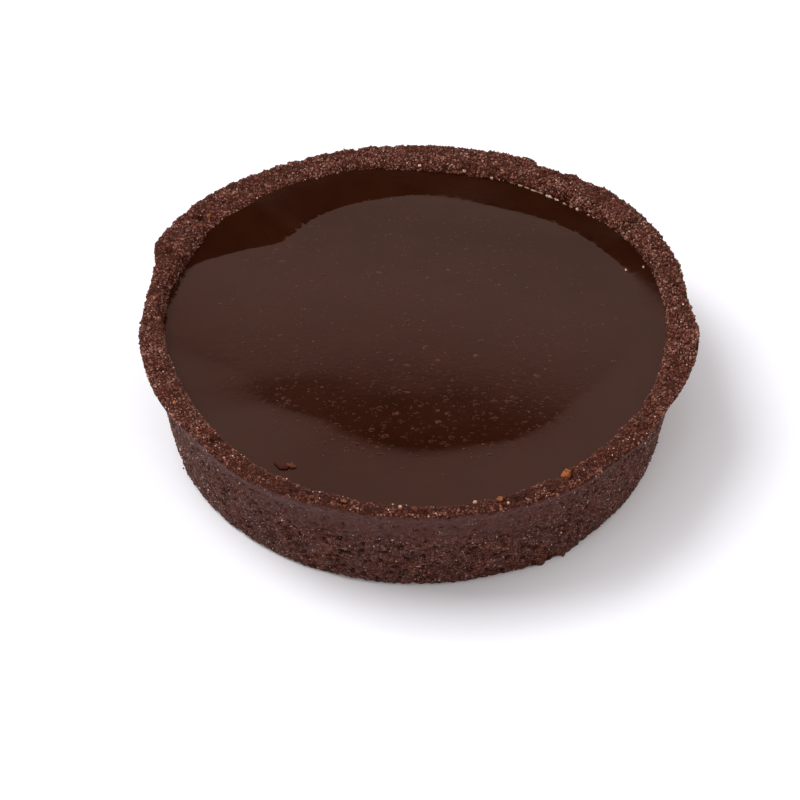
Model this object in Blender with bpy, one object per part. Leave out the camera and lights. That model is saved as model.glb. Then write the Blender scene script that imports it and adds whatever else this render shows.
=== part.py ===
"""A chocolate tart: a shortcrust pastry case with a rough rim, filled almost to the top with set ganache.

Metres, +Z up. The origin is the centre of the flat base. Angles go round the tart in degrees, from 0 at +X
through 90 at +Y.
"""

import math

import bmesh
import bpy

# The pastry case. A rounding is how much of each side of a corner its round takes up, and a radius or a
# height goes to the sharp corner.
BASE_RADIUS = 0.0355  # the straight side leans out from here
FLARE_RADIUS = 0.0378  # to here, where it flares out to the rim
FLARE_HEIGHT = 0.0148
RIM_RADIUS = 0.0404
CASE_HEIGHT = 0.0179
RIM_WIDTH = 0.0047
RIM_CROWN = 0.0002  # the middle of the rim stands this far above its edges
CROWN_ROUNDING = 0.0009
FLOOR_THICKNESS = 0.0040
FOOT_ROUNDING = 0.0008
FLARE_ROUNDING = 0.0016
RIM_ROUNDING = 0.0011
INNER_CORNER_ROUNDING = 0.0040

# The filling.
FILLING_BELOW_RIM = 0.0011  # at its edge
MOAT_DEPTH = 0.0006  # the ganache sank a little in a ring between its edge and its middle
MOAT_WIDTH = 0.0080  # from the edge of the filling to the lowest ring
MOAT_ROUNDING = 0.0024
DOME_RISE = 0.0012  # the middle set slightly domed, this far above the lowest ring
DOME_RADIUS = 0.0180  # where the dome stands at a share of its rise
DOME_SHARE = 0.55
DOME_ROUNDING = 0.0080
DOME_FLAT_RADIUS = 0.0070
FIT_GAP = 0.0003  # between the filling and the pastry that holds it

# The rim was trimmed by hand. Each flap is dough that was pushed out over the edge of the tin. It swells
# gradually from its first angle to its second, runs on to its third, and is broken off short there.
FLAPS = (
    # first, second, third angle (degrees), reach (metres)
    (106, 147, 157, 0.0021),
    (10, 37, 46, 0.0012),
    (-24, -5, -2, 0.0007),
    (96, 66, 62, 0.0005),
    (288, 301, 306, 0.0003),
)
FLAP_BREAK = 5  # degrees over which a flap ends
# Each hollow is a stretch where the outer edge was pressed in or worn.
HOLLOWS = (
    # middle, half width (degrees), depth (metres)
    (172, 14, 0.0006),
    (196, 42, 0.0003),
    (219, 17, 0.0008),
    (58, 6, 0.0009),
    (7, 9, 0.0005),
    (332, 12, 0.0006),
    (315, 9, 0.0004),
)
# Each swelling makes the rim wider on its inner side. A negative one makes it narrower there.
SWELLINGS = (
    # middle, half width (degrees), depth (metres)
    (254, 46, -0.0014),
    (288, 38, -0.0012),
    (276, 10, -0.0004),
    (308, 22, -0.0005),
    (332, 14, -0.0003),
    (150, 48, -0.0009),
    (82, 28, 0.0008),
    (16, 22, -0.0006),
)
TRIMMED_HEIGHT = 0.0038  # how far below the rim the trimming shows
TRIM_LEVELS = 2  # rings of the mesh that follow it there
RIM_WAVES = (
    # waves in a turn, height (metres), phase (degrees)
    (3, 0.00014, 20),
    (7, 0.00010, 75),
    (13, 0.00006, 140),
)

# Fineness of the meshes.
TURN_STEPS = 112
ROUND_STEPS = 3
MERGE_DISTANCE = 0.000001

PASTRY_COLOUR = (0.075, 0.028, 0.019, 1)
PASTRY_ROUGHNESS = 0.85
GANACHE_COLOUR = (0.030, 0.009, 0.005, 1)
GANACHE_ROUGHNESS = 0.25


def smooth_step(value):
    """0 below 0 and 1 above 1, with a smooth rise between them."""
    value = min(1, max(0, value))
    return value * value * (3 - 2 * value)


def degrees_past(angle, start):
    """How far the angle lies past the start, from -180 to 180 degrees."""
    return (angle - start + 180) % 360 - 180


def hump(angle, middle, half_width):
    """1 at the middle, falling smoothly to 0 at the half width and beyond."""
    return smooth_step(1 - abs(degrees_past(angle, middle)) / half_width)


def flap(angle, first, second, third):
    """0 at the first angle, rising smoothly to 1 at the second, and falling off short at the third."""
    rise = smooth_step(degrees_past(angle, first) / (second - first))
    fall = smooth_step(degrees_past(angle, third) / math.copysign(FLAP_BREAK, third - first))
    return rise * (1 - fall)


def outer_reach(angle):
    """How far the outer edge of the rim stands out from its plain circle."""
    flaps = sum(reach * flap(angle, *angles) for *angles, reach in FLAPS)
    hollows = sum(depth * hump(angle, middle, half) for middle, half, depth in HOLLOWS)
    return flaps - hollows


def inner_reach(angle):
    """How far the inner edge of the rim comes in from its plain circle."""
    return sum(depth * hump(angle, middle, half) for middle, half, depth in SWELLINGS)


def rim_lift(angle):
    """How far the rim stands above its plain height."""
    return sum(height * math.sin(math.radians(waves * angle + phase)) for waves, height, phase in RIM_WAVES)


def near_rim(height):
    """0 on the lower part of the case and 1 at its rim, where the trimming shows."""
    return smooth_step(1 - (CASE_HEIGHT - height) / TRIMMED_HEIGHT)


def inner_radius(height):
    """Radius of the case's inner side at a height. It leans out as much as the outer side."""
    lean = (FLARE_RADIUS - BASE_RADIUS) / FLARE_HEIGHT
    return RIM_RADIUS - RIM_WIDTH - lean * (CASE_HEIGHT - height)


def trimmed_case(radius, height, angle):
    """Where a point of the plain case lies on the hand-trimmed one."""
    share = near_rim(height)
    across = min(1, max(0, (radius - inner_radius(height)) / RIM_WIDTH))
    reach = outer_reach(angle) * across - inner_reach(angle) * (1 - across)
    return radius + reach * share, height + rim_lift(angle) * share


def fitted_filling(radius, height, angle):
    """Where a point of the plain filling lies inside the hand-trimmed case."""
    share = near_rim(height) * radius / inner_radius(height)
    return radius - inner_reach(angle) * share, height


def turned(name, corners, levels, material):
    """A solid turned round the Z axis.

    The corners are (radius, height, rounding), and the first and the last lie on the axis. The levels are
    heights at which the solid gets one more ring of points.
    """
    shape = bmesh.new()
    points = [shape.verts.new((radius, 0, height)) for radius, height, _ in corners]
    for pair in zip(points, points[1:]):
        shape.edges.new(pair)
    for point, (_, _, rounding) in zip(points, corners):
        if rounding:
            bmesh.ops.bevel(
                shape, geom=[point], offset=rounding, segments=ROUND_STEPS, profile=0.5, affect="VERTICES",
            )
    bmesh.ops.spin(
        shape, geom=shape.verts[:] + shape.edges[:], axis=(0, 0, 1), cent=(0, 0, 0),
        angle=math.tau, steps=TURN_STEPS, use_merge=True,
    )
    bmesh.ops.remove_doubles(shape, verts=shape.verts, dist=MERGE_DISTANCE)
    for level in levels:
        everything = shape.verts[:] + shape.edges[:] + shape.faces[:]
        bmesh.ops.bisect_plane(shape, geom=everything, plane_co=(0, 0, level), plane_no=(0, 0, 1))
    bmesh.ops.recalc_face_normals(shape, faces=shape.faces)
    mesh = bpy.data.meshes.new(name)
    shape.to_mesh(mesh)
    shape.free()
    mesh.shade_smooth()
    mesh.materials.append(material)
    solid = bpy.data.objects.new(name, mesh)
    bpy.context.scene.collection.objects.link(solid)
    return solid


def reshape(solid, moved):
    """Moves each point of the solid to where moved(radius, height, angle) puts it."""
    for vertex in solid.data.vertices:
        radius = math.hypot(vertex.co.x, vertex.co.y)
        angle = math.degrees(math.atan2(vertex.co.y, vertex.co.x))
        new_radius, new_height = moved(radius, vertex.co.z, angle)
        scale = new_radius / radius if radius else 1
        vertex.co = (vertex.co.x * scale, vertex.co.y * scale, new_height)
    solid.data.update()


def make_material(name, colour, roughness):
    """A plain finish of one colour and roughness."""
    material = bpy.data.materials.new(name)
    material.use_nodes = True
    shader = material.node_tree.nodes["Principled BSDF"]
    shader.inputs["Base Color"].default_value = colour
    shader.inputs["Roughness"].default_value = roughness
    material.diffuse_color = colour
    return material


def trim_levels():
    """Heights of the rings that follow the trimming down the side of the case."""
    return [CASE_HEIGHT - TRIMMED_HEIGHT * (step + 1) / TRIM_LEVELS for step in range(TRIM_LEVELS)]


def pastry_case():
    """The shortcrust case: a cup with a flat floor, a side that leans out and flares, and a crowned rim."""
    corners = (
        (0, 0, 0),
        (BASE_RADIUS, 0, FOOT_ROUNDING),
        (FLARE_RADIUS, FLARE_HEIGHT, FLARE_ROUNDING),
        (RIM_RADIUS, CASE_HEIGHT, RIM_ROUNDING),
        (RIM_RADIUS - RIM_WIDTH / 2, CASE_HEIGHT + RIM_CROWN, CROWN_ROUNDING),
        (RIM_RADIUS - RIM_WIDTH, CASE_HEIGHT, RIM_ROUNDING),
        (inner_radius(FLOOR_THICKNESS), FLOOR_THICKNESS, INNER_CORNER_ROUNDING),
        (0, FLOOR_THICKNESS, 0),
    )
    material = make_material("chocolate_pastry", PASTRY_COLOUR, PASTRY_ROUGHNESS)
    reshape(turned("pastry_case", corners, trim_levels(), material), trimmed_case)


def ganache_filling():
    """The ganache, poured in warm and set: it climbs the pastry at its edge and is domed in the middle."""
    bottom = FLOOR_THICKNESS + FIT_GAP
    edge_height = CASE_HEIGHT - FILLING_BELOW_RIM
    edge_radius = inner_radius(edge_height) - FIT_GAP
    moat_height = edge_height - MOAT_DEPTH
    corners = (
        (0, bottom, 0),
        (inner_radius(bottom) - FIT_GAP, bottom, INNER_CORNER_ROUNDING),
        (edge_radius, edge_height, 0),
        (edge_radius - MOAT_WIDTH, moat_height, MOAT_ROUNDING),
        (DOME_RADIUS, moat_height + DOME_SHARE * DOME_RISE, DOME_ROUNDING),
        (DOME_FLAT_RADIUS, moat_height + DOME_RISE, DOME_FLAT_RADIUS),
        (0, moat_height + DOME_RISE, 0),
    )
    material = make_material("ganache", GANACHE_COLOUR, GANACHE_ROUGHNESS)
    reshape(turned("ganache_filling", corners, trim_levels(), material), fitted_filling)


def main():
    for old in list(bpy.data.objects):
        bpy.data.objects.remove(old, do_unlink=True)
    pastry_case()
    ganache_filling()


main()
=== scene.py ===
# %% [markdown]
# # A chocolate tart
#
# An individual tart is two things: a shortcrust case, pressed into a small tin and baked, and the ganache
# that was poured into it warm and left to set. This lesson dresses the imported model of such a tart. The
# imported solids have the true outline, and they say where everything goes. What they lack is all that makes
# the tart look good to eat: the sandy rim, the pitted side, the soft shine, the bubbles and the crumbs.
#
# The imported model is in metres, with +Z up and the middle of the flat base at the origin. Angles go round
# the tart from 0 at +X through 90 degrees at +Y, and the side at -Y faces the viewer.

import math

import bmesh
import bpy
import numpy as np
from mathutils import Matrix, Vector, noise
from mathutils.bvhtree import BVHTree


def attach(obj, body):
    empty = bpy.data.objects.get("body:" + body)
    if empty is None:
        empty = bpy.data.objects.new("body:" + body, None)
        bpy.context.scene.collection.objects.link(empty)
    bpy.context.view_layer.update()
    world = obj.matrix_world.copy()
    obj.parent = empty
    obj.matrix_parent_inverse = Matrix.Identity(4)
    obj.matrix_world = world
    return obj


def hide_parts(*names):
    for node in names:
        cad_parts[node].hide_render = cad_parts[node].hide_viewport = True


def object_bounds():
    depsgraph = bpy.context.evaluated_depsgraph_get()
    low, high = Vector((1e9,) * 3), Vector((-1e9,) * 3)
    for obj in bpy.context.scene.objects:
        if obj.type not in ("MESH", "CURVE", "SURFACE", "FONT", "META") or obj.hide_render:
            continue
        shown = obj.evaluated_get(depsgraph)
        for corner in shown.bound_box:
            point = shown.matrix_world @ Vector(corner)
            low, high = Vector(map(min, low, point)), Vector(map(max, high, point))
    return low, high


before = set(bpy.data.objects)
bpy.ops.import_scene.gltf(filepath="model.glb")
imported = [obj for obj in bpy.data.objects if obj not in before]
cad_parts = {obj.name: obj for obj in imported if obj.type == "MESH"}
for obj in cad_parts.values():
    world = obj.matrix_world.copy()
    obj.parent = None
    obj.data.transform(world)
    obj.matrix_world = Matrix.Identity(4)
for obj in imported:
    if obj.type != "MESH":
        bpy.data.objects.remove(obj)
cad_low, cad_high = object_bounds()
MM = 0.001
chance = np.random.default_rng(20)

print("nodes:", sorted(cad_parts))
print("size in mm:", [round(side / MM, 1) for side in cad_high - cad_low])

# %% [markdown]
# ## The camera
#
# The tart is seen from 43 degrees above, with a long lens: high enough to show the filling, low enough to
# show the side of the case. A long lens from half a metre keeps the circle of the rim from looking
# stretched. The camera aims a little below and beside the middle of the tart.

# %% The camera
CAMERA_ELEVATION = math.radians(43.32)
CAMERA_DISTANCE = 0.520
CAMERA_LENS = 163.2  # millimetres, like the sensor's width
SENSOR_WIDTH = 36
AIM = Vector((-0.00233, -0.00717, 0.00895))

camera_data = bpy.data.cameras.new("camera")
camera_data.sensor_width = SENSOR_WIDTH
camera_data.lens = CAMERA_LENS
camera_data.clip_start = 0.01
camera = bpy.data.objects.new("camera", camera_data)
towards_camera = Vector((0, -math.cos(CAMERA_ELEVATION), math.sin(CAMERA_ELEVATION)))
camera.location = AIM + CAMERA_DISTANCE * towards_camera
camera.rotation_euler = (math.pi / 2 - CAMERA_ELEVATION, 0, 0)
bpy.context.scene.collection.objects.link(camera)
bpy.context.scene.camera = camera
bpy.context.scene.view_settings.view_transform = "Standard"
print("camera at", [round(part, 3) for part in camera.location])

# %% [markdown]
# ## The light
#
# Glossy ganache shows what it mirrors more than its own colour. In a studio it mirrors the pale walls,
# which are bright up to some height and dark above. The surface mirrors the bright part where it is level
# and the dark part where it slopes towards the viewer, and that edge is what makes the shine read. A world
# shader can hold such a room: its brightness depends only on the height of the ray, so the room is the same
# all round.

# %% The room that the ganache mirrors
def link(tree, source, target):
    """Joins an output socket to an input socket."""
    tree.links.new(source, target)


def add_node(tree, kind, **settings):
    """A new shader node, with its settings and with the values of its inputs."""
    made = tree.nodes.new(kind)
    for name, value in settings.items():
        if hasattr(made, name):
            setattr(made, name, value)
        else:
            made.inputs[name.replace("_", " ")].default_value = value
    return made


def add_ramp(tree, stops, source):
    """A colour ramp with (place, colour) stops, fed by the source, and its colour output."""
    ramp = tree.nodes.new("ShaderNodeValToRGB")
    while len(ramp.color_ramp.elements) < len(stops):
        ramp.color_ramp.elements.new(0.5)
    for element, (place, colour) in zip(ramp.color_ramp.elements, stops):
        element.position = place
        element.color = (*colour, 1)
    link(tree, source, ramp.inputs["Fac"])
    return ramp.outputs["Color"]


ROOM_TINT = (1.0, 0.90, 0.83)
ROOM_BRIGHTNESS = (
    # elevation in degrees, brightness
    (0, 1.30),
    (20, 1.20),
    (31, 0.68),
    (34, 0.81),
    (37, 0.94),
    (40, 1.05),
    (43.5, 1.00),
    (46, 0.91),
    (47, 0.81),
    (49, 0.38),
    (50.5, 0.17),
    (52.5, 0.10),
    (54.5, 0.03),
)

world = bpy.data.worlds.new("studio")
world.use_nodes = True
bpy.context.scene.world = world
room = world.node_tree
direction = add_node(room, "ShaderNodeTexCoord").outputs["Generated"]
height = add_node(room, "ShaderNodeSeparateXYZ")
link(room, direction, height.inputs[0])
stops = [
    (math.sin(math.radians(elevation)), tuple(value * part for part in ROOM_TINT))
    for elevation, value in ROOM_BRIGHTNESS
]
link(room, add_ramp(room, stops, height.outputs["Z"]), room.nodes["Background"].inputs["Color"])
print("the room is given at", len(stops), "heights")

# %% [markdown]
# The room alone would give no shadow, as it is bright on every side. One large lamp behind the tart on the
# left gives a soft one. A weaker lamp fills in from above, and a third, low on the right, lightens the
# shadow close to the tart. A sun lamp would draw the shadow with a hard edge, so all three are wide
# squares.

# %% The lamps
def add_lamp(name, azimuth, elevation, distance, size, power, colour):
    """A square soft lamp, aimed at the tart from an azimuth and an elevation in degrees.

    The distance and the size are in metres, and the power is in watts.
    """
    data = bpy.data.lights.new(name, "AREA")
    data.shape = "SQUARE"
    data.size = size
    data.energy = power
    data.color = colour
    lamp = bpy.data.objects.new(name, data)
    turn, rise = math.radians(azimuth), math.radians(elevation)
    outwards = Vector((math.cos(turn) * math.cos(rise), math.sin(turn) * math.cos(rise), math.sin(rise)))
    lamp.location = outwards * distance
    lamp.rotation_mode = "QUATERNION"
    lamp.rotation_quaternion = outwards.to_track_quat("Z", "Y")
    bpy.context.scene.collection.objects.link(lamp)
    print(name, "at", azimuth, "degrees round and", elevation, "degrees up")


add_lamp("key_lamp", 171, 60, 0.9, 0.48, 5.8, (1.0, 0.985, 0.97))
add_lamp("fill_lamp", 262, 76, 1.0, 0.60, 2.2, (0.96, 0.98, 1.0))
add_lamp("side_lamp", 35, 38, 1.0, 0.50, 1.1, (1.0, 0.97, 0.94))

# %% [markdown]
# The tart stands on a wide white table. It is part of the stage and not of the tart.

# %% The table
def new_material(name):
    """A new material and the parts that each one needs: its node tree and its main shader."""
    material = bpy.data.materials.new(name)
    material.use_nodes = True
    tree = material.node_tree
    return material, tree, tree.nodes["Principled BSDF"]


FLOOR_SIZE = 3.0
floor_material, floor_tree, floor_shader = new_material("white_table")
floor_shader.inputs["Roughness"].default_value = 0.9
floor_shader.inputs["Specular IOR Level"].default_value = 0.1
table_grain = add_node(floor_tree, "ShaderNodeTexNoise", Scale=40.0, Detail=3.0)
link(floor_tree, add_node(floor_tree, "ShaderNodeTexCoord").outputs["Object"], table_grain.inputs["Vector"])
table_colour = add_ramp(
    floor_tree, [(0.3, (0.88, 0.91, 0.98)), (0.7, (0.90, 0.93, 1.00))], table_grain.outputs["Fac"],
)
link(floor_tree, table_colour, floor_shader.inputs["Base Color"])
floor_mesh = bpy.data.meshes.new("floor")
half = FLOOR_SIZE / 2
floor_mesh.from_pydata(
    [(-half, -half, cad_low.z), (half, -half, cad_low.z), (half, half, cad_low.z), (-half, half, cad_low.z)],
    [], [(0, 1, 2, 3)],
)
floor_mesh.materials.append(floor_material)
floor = bpy.data.objects.new("floor", floor_mesh)
bpy.context.scene.collection.objects.link(floor)
print("the table is", FLOOR_SIZE, "m wide")

# %% [markdown]
# ## The surface of the case
#
# The side of a real case took its shape from the tin, and its rim was trimmed by hand. Both are in the
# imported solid, but its faces are 2 mm long and the sand of the crust is 0.4 mm. Subdividing it would spend
# faces on the underside that nobody sees. A turned grid, fitted to the solid by rays, puts them where they
# show: each column of the grid is one angle round the tart, and its points are where rays from inside the
# wall leave the solid.

# %% Rays from inside the wall
COLUMNS = 800
LEAN = -8.8  # degrees: the direction straight out of the side of the case
FLOOR_SPINE = (34.2 * MM, 1.8 * MM)  # radius and height of points well inside the solid
WALL_SPINE = (34.9 * MM, 4.5 * MM)
RIM_SPINE = (37.4 * MM, 16.2 * MM)
MIDDLE_SPINE = (1.0 * MM, 1.8 * MM)

# Each stretch of the outline: its name, where its rays start and end, their directions in degrees, and the
# rows of the grid that it gets.
STRETCHES = (
    ("underside", MIDDLE_SPINE, FLOOR_SPINE, -90, -90, 5),
    ("foot", FLOOR_SPINE, FLOOR_SPINE, -90, LEAN, 7),
    ("low side", FLOOR_SPINE, WALL_SPINE, LEAN, LEAN, 9),
    ("side", WALL_SPINE, RIM_SPINE, LEAN, LEAN, 46),
    ("rim", RIM_SPINE, RIM_SPINE, LEAN, 180 + LEAN, 39),
    ("inner side", RIM_SPINE, WALL_SPINE, 180 + LEAN, 180 + LEAN, 10),
    ("corner", WALL_SPINE, FLOOR_SPINE, 180 + LEAN, 90, 3),
    ("floor", FLOOR_SPINE, MIDDLE_SPINE, 90, 90, 3),
)
RAYS_IN_STRETCH = 40


def surface_tree(solid):
    """A tree for casting rays at a piece."""
    corners = [vertex.co for vertex in solid.data.vertices]
    return BVHTree.FromPolygons(corners, [polygon.vertices for polygon in solid.data.polygons])


def level_ray(angle):
    """The level direction away from the axis, at an angle in radians."""
    return Vector((math.cos(angle), math.sin(angle), 0))


def column_of(tree, angle):
    """The solid's outline at an angle: for each stretch, an array of its points as (radius, height)."""
    outwards = level_ray(angle)
    up = Vector((0, 0, 1))
    outline = []
    for _, start, end, first, last, _ in STRETCHES:
        points = []
        for share in np.linspace(0, 1, RAYS_IN_STRETCH):
            radius = start[0] + (end[0] - start[0]) * share
            level = start[1] + (end[1] - start[1]) * share
            turn = math.radians(first + (last - first) * share)
            ray = outwards * math.cos(turn) + up * math.sin(turn)
            hit = tree.ray_cast(outwards * radius + up * level, ray)[0]
            points.append((hit.xy.length, hit.z))
        outline.append(np.array(points))
    return outline


case_tree = surface_tree(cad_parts["pastry_case"])
print("rays for each column:", len(STRETCHES) * RAYS_IN_STRETCH)

# %% [markdown]
# The rays of a stretch hit the solid at uneven distances, so each stretch is cut again into its own number
# of even rows: many on the side and the rim, few where nobody looks. Averaging over the neighbouring
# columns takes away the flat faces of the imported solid, which would show as facets.

# %% An even grid
def even_rows(points, rows):
    """The same stretch with its points evenly spaced, without its last one, where the next stretch begins."""
    lengths = np.hypot(*np.diff(points, axis=0).T)
    along = np.concatenate([[0], np.cumsum(lengths)])
    wanted = np.linspace(0, along[-1], rows + 1)[:-1]
    return np.column_stack([np.interp(wanted, along, points[:, 0]), np.interp(wanted, along, points[:, 1])])


angles = np.arange(COLUMNS) * math.tau / COLUMNS
grid = np.array([
    np.concatenate([
        even_rows(points, stretch[-1]) for points, stretch in zip(column_of(case_tree, angle), STRETCHES)
    ])
    for angle in angles
])
stretch_names = [stretch[0] for stretch in STRETCHES]
row_stretch = np.concatenate([[index] * stretch[-1] for index, stretch in enumerate(STRETCHES)])
ROWS = grid.shape[1]
print("grid of the case:", COLUMNS, "columns and", ROWS, "rows")


def smooth_round(values, reach):
    """Averages an array over its neighbouring columns, all the way round."""
    return sum(np.roll(values, step, axis=0) for step in range(-reach, reach + 1)) / (2 * reach + 1)


FACET_REACH = 3
grid = smooth_round(grid, FACET_REACH)
smooth_case = np.stack(
    [grid[..., 0] * np.cos(angles)[:, None], grid[..., 0] * np.sin(angles)[:, None], grid[..., 1]], axis=-1
)


def grid_normals(points):
    """The outward normals of a grid of columns that goes all the way round."""
    across = np.roll(points, -1, axis=0) - np.roll(points, 1, axis=0)
    along = np.gradient(points, axis=1)
    normals = np.cross(across, along)
    return normals / np.linalg.norm(normals, axis=-1, keepdims=True)


case_normals = grid_normals(smooth_case)
on_side = np.argmax(row_stretch == stretch_names.index("side"))  # its first row
print("normals point out:", case_normals[0, on_side] @ smooth_case[0, on_side] > 0)

# %% [markdown]
# ## The relief of the crust
#
# Baked shortcrust is sand held together by butter. Where the dough was pressed against the tin it is smooth
# and a little greasy, lower down it is grainy, with pits and short cracks where the layers of dough didn't
# close, and where it was trimmed it is all loose grain. So each point of the grid first gets three shares:
# how sandy, how grainy and how pressed the crust is there. They follow the height, the tilt of the surface
# and the angle round the tart, and they meet in soft, wandering borders. Painting them by hand would do as
# well, but then they wouldn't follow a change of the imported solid.

# %% Sandy, grainy and pressed parts
def smooth_step(value, start, end):
    """0 at the start, 1 at the end, with a smooth rise between them."""
    share = np.clip((value - start) / (end - start), 0, 1)
    return share * share * (3 - 2 * share)


def hump(angle, middle, half_width):
    """1 at the middle angle, falling smoothly to 0 at the half width and beyond. Angles are in degrees."""
    away = np.abs((angle - middle + 180) % 360 - 180)
    return smooth_step(1 - away / half_width, 0, 1)


heights = smooth_case[..., 2]
degrees = np.degrees(angles)[:, None]


def in_stretches(*names):
    """1 on the rows of the named stretches, 0 on the others."""
    return np.isin(row_stretch, [stretch_names.index(name) for name in names])[None, :].astype(float)


# The sand of the rim stops at its sharp front edge, and runs over the torn edge elsewhere.
TORN_TILT = -0.20  # the upward part of the normal from which sand lies on it
CRISPER_BY = 0.62  # and how much more that is in front
CRISP_FRONT = (265, 78)  # degrees: the middle and the half width
RIM_MIDDLE = 37.0 * MM  # distance from the axis
edge_tilt = TORN_TILT + CRISPER_BY * hump(degrees, *CRISP_FRONT)
facing_up = smooth_step(case_normals[..., 2], edge_tilt, edge_tilt + 0.25)
sandy = in_stretches("rim", "inner side") * np.maximum(facing_up, grid[..., 0] < RIM_MIDDLE)
sandy = sandy * smooth_step(heights, 14.0 * MM, 15.5 * MM)
wander = np.array([
    2.2 * noise.noise((3 * math.cos(angle), 3 * math.sin(angle), 5))
    + 1.2 * noise.noise((14 * math.cos(angle), 14 * math.sin(angle), 2)) for angle in angles
])
# Where the grainy part of the side reaches higher: the middle angle, the half width and how much in mm.
GRAINY_RISES = ((322, 34, 5.0), (206, 30, 4.0), (120, 60, 1.5), (20, 50, 2.5))
rises = sum(rise * hump(degrees, middle, half) for middle, half, rise in GRAINY_RISES)
low_side = 1 - smooth_step(heights / MM + wander[:, None] - rises, 8.0, 14.0)
grainy = in_stretches("foot", "low side", "side") * low_side
pressed = np.clip(in_stretches("foot", "low side", "side", "rim") - grainy - sandy, 0, 1)
print("points of the grid that are mostly sandy, grainy and pressed:",
      [int((share > 0.5).sum()) for share in (sandy, grainy, pressed)])

# %% [markdown]
# Now the points are moved. A displacement texture would be lost when the model is exported, so a loop asks
# noise for each point. Rounded cells make granules, holes in some of the cells make pits, plain noise makes
# lumps, and noise squeezed in height makes cracks that run along the side.

# %% Granules, pits and cracks
RIM_LUMPS = 0.22 * MM  # heights of each kind of relief
RIM_GRANULES = 0.22 * MM
SIDE_LUMPS = 0.07 * MM
SIDE_GRANULES = 0.19 * MM
PRESSED_TEXTURE = 0.045 * MM
PIT_DEPTH = 0.50 * MM
CRACK_DEPTH = 0.60 * MM
LARGE_LUMPS = 2.6 * MM  # and sizes along the surface
SMALL_LUMPS = 1.1 * MM
RIM_GRANULE_SIZE = 0.85 * MM
SIDE_GRANULE_SIZE = 0.72 * MM
RIM_PITS = 1.5 * MM
SIDE_PITS = (0.95 * MM, 1.6 * MM)
PRESSED_WAVES = (0.62 * MM, 2.5 * MM)
PRESSED_PITS = (1.0 * MM, 0.7 * MM)
WORN_FROM = 39.6 * MM  # the outermost edge of the rim is worn smoother
CRACKED_FRONT = (262, 34)  # degrees: the middle and the half width of the stretch with the most cracks


def granule(point, size):
    """Height from 0 to 1 of closely packed round grains of that size."""
    nearest = noise.voronoi(point / size)[0][0]
    return max(0, 1 - nearest * nearest * 2.2)


def pit(point, size, share):
    """Depth from 0 to 1 of small holes, in that share of the cells of that size."""
    distances, centres = noise.voronoi(point / size)
    if noise.cell(centres[0] * 31.7) > share:
        return 0
    return max(0, 1 - (distances[0] / 0.36) ** 2)


def crack(point):
    """Depth from 0 to 1 of cracks that run along the side."""
    squeezed = Vector((point.x, point.y, point.z * 3.6)) / (3.6 * MM)
    ridge = 1 - abs(noise.noise(squeezed)) / 0.16
    return max(0, ridge) * smooth_step(noise.noise(point / (4.5 * MM) + Vector((9, 2, 4))), 0.02, 0.2)


def relief(point, sand, grain, press, cracks):
    """How far a point of the crust moves outwards."""
    lump = noise.noise(point / LARGE_LUMPS) + 0.6 * noise.noise(point / SMALL_LUMPS)
    worn = 0.5 if point.xy.length > WORN_FROM else 1
    move = lump * (RIM_LUMPS * worn * sand + SIDE_LUMPS * grain)
    if sand > 0:
        move += sand * RIM_GRANULES * (granule(point, RIM_GRANULE_SIZE) - 0.5)
        move -= sand * 0.8 * PIT_DEPTH * pit(point, RIM_PITS, 0.40)
    if grain > 0:
        move += grain * SIDE_GRANULES * (granule(point, SIDE_GRANULE_SIZE) - 0.5)
        pits = pit(point, SIDE_PITS[0], 0.30) + 0.9 * pit(point, SIDE_PITS[1], 0.13)
        move -= grain * PIT_DEPTH * pits
        move -= grain * cracks * CRACK_DEPTH * crack(point)
    if press > 0:
        waves = noise.noise(point / PRESSED_WAVES[0]) + noise.noise(point / PRESSED_WAVES[1])
        move += press * PRESSED_TEXTURE * waves
        pits = 0.7 * pit(point, PRESSED_PITS[0], 0.05) + 0.4 * pit(point, PRESSED_PITS[1], 0.10)
        move -= press * PIT_DEPTH * pits
    return move


cracked = 0.35 + 0.65 * hump(degrees[:, 0], *CRACKED_FRONT)
moves = np.zeros((COLUMNS, ROWS))
for column in range(COLUMNS):
    for row in range(ROWS):
        shares = (sandy[column, row], grainy[column, row], pressed[column, row])
        if max(shares) > 0:
            moves[column, row] = relief(Vector(smooth_case[column, row]), *shares, cracked[column])
print("relief from", round(moves.min() / MM, 2), "to", round(moves.max() / MM, 2), "mm")

# %% [markdown]
# Noise makes a crust, but not this crust. Its largest cracks and the holes in its rim, where a lump broke
# out, have places of their own, so they are listed and cut as soft dents. The foot has a burr where
# dough was squeezed out. Booleans would cut the cracks too, but they leave long thin faces that shade badly.

# %% Cracks, holes and a burr
# Open cracks in the side: the angle, the height in mm, the half length in degrees, the half thickness and the
# depth in mm.
SIDE_CRACKS = (
    (290.0, 1.5, 7.0, 0.30, 0.9),
    (254.5, 6.3, 2.8, 0.24, 0.8),
    (259.0, 5.1, 2.4, 0.24, 0.8),
    (263.0, 7.6, 2.6, 0.22, 0.7),
    (268.0, 6.3, 1.8, 0.24, 0.7),
    (288.0, 9.3, 2.2, 0.22, 0.7),
    (283.0, 7.7, 1.6, 0.22, 0.6),
    (302.5, 6.8, 1.8, 0.22, 0.6),
    (243.0, 4.6, 2.4, 0.22, 0.6),
)
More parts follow.
